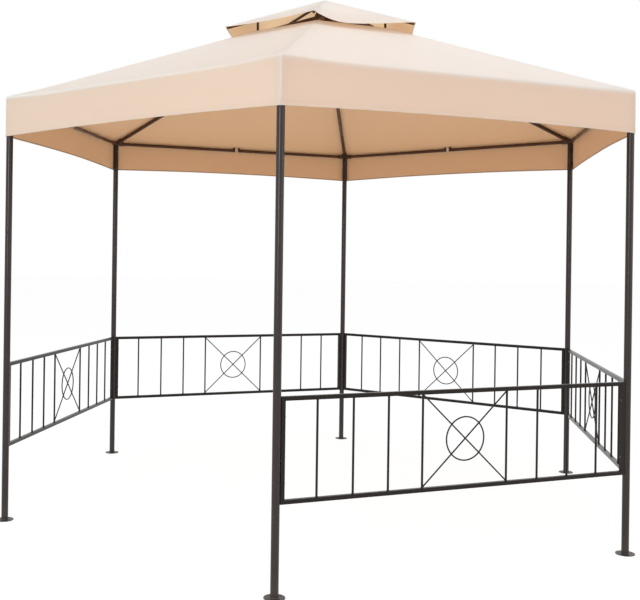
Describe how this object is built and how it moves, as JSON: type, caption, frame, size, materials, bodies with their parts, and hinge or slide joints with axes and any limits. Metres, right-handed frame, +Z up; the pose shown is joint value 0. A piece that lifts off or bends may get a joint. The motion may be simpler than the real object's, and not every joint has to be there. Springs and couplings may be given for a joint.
{
  "type": "hexagonal garden gazebo",
  "caption": "Hexagonal garden gazebo with tube posts, low lattice railings, an open entrance side, a pitched fabric canopy with a valance and a raised vent cap.",
  "frame": {"origin": "centre of the hexagonal plan, on the ground under the foot plates", "axes": "+Z up; +X runs from the left corner post to the right corner post; the open entrance side faces -Y"},
  "size_m": [3.28, 2.851, 2.5982],
  "materials": {
    "frame": "satin",
    "railings": "satin",
    "fittings": "satin",
    "canopy": "matte",
    "strap": "matte"
  },
  "bodies": {
    "root": {"front_left_post": "frame", "front_right_post": "frame", "right_post": "frame", "back_right_post": "frame", "back_left_post": "frame", "left_post": "frame", "foot_plates": "frame", "corner_joints": "fittings", "front_left_rafter": "frame", "front_right_rafter": "frame", "right_rafter": "frame", "back_right_rafter": "frame", "back_left_rafter": "frame", "left_rafter": "frame", "front_beam": "frame", "front_right_beam": "frame", "back_right_beam": "frame", "back_beam": "frame", "back_left_beam": "frame", "front_left_beam": "frame", "splice_plates": "fittings", "canopy_ties": "strap", "front_right_railing": "railings", "back_right_railing": "railings", "back_railing": "railings", "back_left_railing": "railings", "front_left_railing": "railings", "roof_hub": "fittings", "vent_ring": "frame", "cap_struts": "frame", "cap_rafters": "frame", "cap_hub": "fittings", "front_roof_panel": "canopy", "front_right_roof_panel": "canopy", "back_right_roof_panel": "canopy", "back_roof_panel": "canopy", "back_left_roof_panel": "canopy", "front_left_roof_panel": "canopy", "front_valance": "canopy", "front_right_valance": "canopy", "back_right_valance": "canopy", "back_valance": "canopy", "back_left_valance": "canopy", "front_left_valance": "canopy", "cap_panels": "canopy"}
  },
  "joints": []
}
